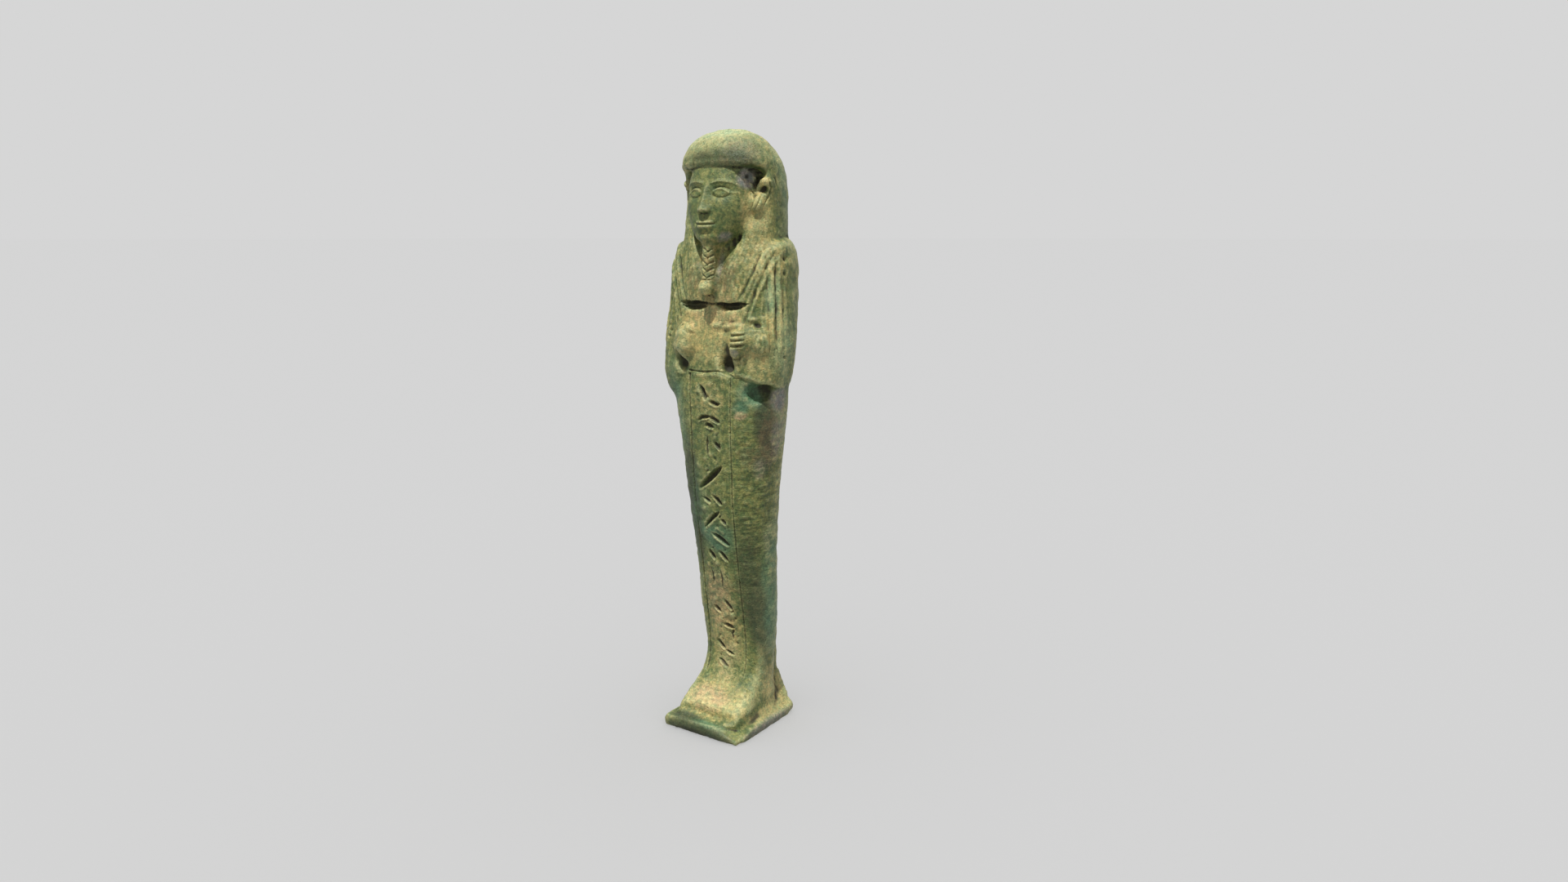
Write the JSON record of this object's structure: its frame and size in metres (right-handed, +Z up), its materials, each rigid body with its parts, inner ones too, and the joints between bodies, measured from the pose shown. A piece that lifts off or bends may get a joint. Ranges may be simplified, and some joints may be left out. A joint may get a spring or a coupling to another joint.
{
  "type": "ushabti figurine",
  "caption": "Small standing mummiform figurine with a wig, plaited beard, folded arms, a column of worn strokes, a back pillar and a low base.",
  "frame": {"origin": "centre of the base's underside, on the surface that the figurine stands on", "axes": "+Z up the figure from the base to the crown, -Y the way the figure faces, +X towards the figure's left arm"},
  "size_m": [0.0355, 0.0262, 0.15],
  "materials": {
    "faience": "aged blue-green faience glaze, worn to olive and tan, satin with dull worn places"
  },
  "bodies": {
    "root": {"ushabti": "faience"}
  },
  "joints": []
}
